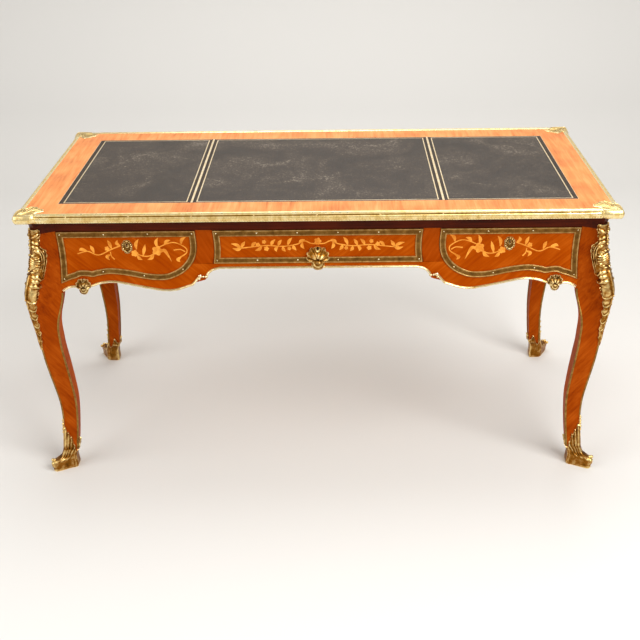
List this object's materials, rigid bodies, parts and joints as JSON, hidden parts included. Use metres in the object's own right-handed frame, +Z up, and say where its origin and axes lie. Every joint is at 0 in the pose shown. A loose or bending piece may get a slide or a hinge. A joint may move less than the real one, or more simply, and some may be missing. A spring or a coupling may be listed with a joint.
{
  "type": "bureau plat writing table",
  "caption": "Flat writing table with a leather-lined top, a row of drawers that slide out, cabriole legs and gilt bronze mounts.",
  "frame": {"origin": "centre of the base on the floor, under the middle of the top", "axes": "+X along the front to the viewer's right, +Y from the front to the back, +Z up; the drawers open towards -Y"},
  "size_m": [1.5868, 0.8188, 0.79],
  "materials": {
    "veneer": "polished tulipwood veneer with floral marquetry",
    "stile_veneer": "polished veneer",
    "border_veneer": "polished cross-banded veneer",
    "dark_rail": "dark polished veneer",
    "drawer_oak": "plain oak",
    "leather": "worn dark leather, gold-tooled",
    "gilt_brass": "chased gilt bronze",
    "old_gilt": "darkened gilt bronze",
    "lock_steel": "plain iron"
  },
  "bodies": {
    "desk": {"top_board": "drawer_oak", "top_border": "border_veneer", "leather_left": "leather", "leather_centre": "leather", "leather_right": "leather", "edge_moulding_front": "gilt_brass", "edge_moulding_back": "gilt_brass", "edge_moulding_left": "gilt_brass", "edge_moulding_right": "gilt_brass", "corner_mount_front_left": "gilt_brass", "corner_mount_front_right": "gilt_brass", "corner_mount_back_left": "gilt_brass", "corner_mount_back_right": "gilt_brass", "cavetto_frame": "dark_rail", "leg_front_left": "veneer", "leg_front_right": "veneer", "leg_back_left": "veneer", "leg_back_right": "veneer", "front_apron": "veneer", "back_apron": "veneer", "side_apron_left": "veneer", "side_apron_right": "veneer", "drawer_partitions": "stile_veneer", "drawer_runners": "drawer_oak", "knee_mount_front_left": "gilt_brass", "knee_mount_front_right": "gilt_brass", "knee_mount_back_left": "gilt_brass", "knee_mount_back_right": "gilt_brass", "sabot_front_left": "gilt_brass", "sabot_front_right": "gilt_brass", "sabot_back_left": "gilt_brass", "sabot_back_right": "gilt_brass", "leg_filets": "gilt_brass", "apron_moulding_front": "gilt_brass", "apron_moulding_back": "gilt_brass", "apron_moulding_sides": "gilt_brass", "apron_shells": "gilt_brass", "dummy_frames": "old_gilt", "dummy_escutcheons": "gilt_brass"},
    "left_drawer": {"left_drawer_front": "veneer", "left_drawer_box": "drawer_oak", "left_drawer_bottom": "drawer_oak", "left_drawer_frame": "old_gilt", "left_escutcheon": "gilt_brass", "left_lock": "lock_steel"},
    "left_lock_bolt": {"left_bolt": "gilt_brass"},
    "centre_drawer": {"centre_drawer_front": "veneer", "centre_drawer_box": "drawer_oak", "centre_drawer_bottom": "drawer_oak", "centre_drawer_frame": "old_gilt", "shell_pull": "gilt_brass", "centre_lock": "lock_steel"},
    "centre_lock_bolt": {"centre_bolt": "gilt_brass"},
    "right_drawer": {"right_drawer_front": "veneer", "right_drawer_box": "drawer_oak", "right_drawer_bottom": "drawer_oak", "right_drawer_frame": "old_gilt", "right_escutcheon": "gilt_brass", "right_lock": "lock_steel"},
    "right_lock_bolt": {"right_bolt": "gilt_brass"}
  },
  "joints": [
    {"name": "left_drawer_slide", "type": "slide", "parent": "desk", "child": "left_drawer", "axis": [0, -1, 0], "range_m": [0, 0.35]},
    {"name": "centre_drawer_slide", "type": "slide", "parent": "desk", "child": "centre_drawer", "axis": [0, -1, 0], "range_m": [0, 0.35]},
    {"name": "right_drawer_slide", "type": "slide", "parent": "desk", "child": "right_drawer", "axis": [0, -1, 0], "range_m": [0, 0.35]},
    {"name": "left_bolt_slide", "type": "slide", "parent": "left_drawer", "child": "left_lock_bolt", "axis": [0, 0, 1], "range_m": [0, 0.008]},
    {"name": "centre_bolt_slide", "type": "slide", "parent": "centre_drawer", "child": "centre_lock_bolt", "axis": [0, 0, 1], "range_m": [0, 0.008]},
    {"name": "right_bolt_slide", "type": "slide", "parent": "right_drawer", "child": "right_lock_bolt", "axis": [0, 0, 1], "range_m": [0, 0.008]}
  ]
}
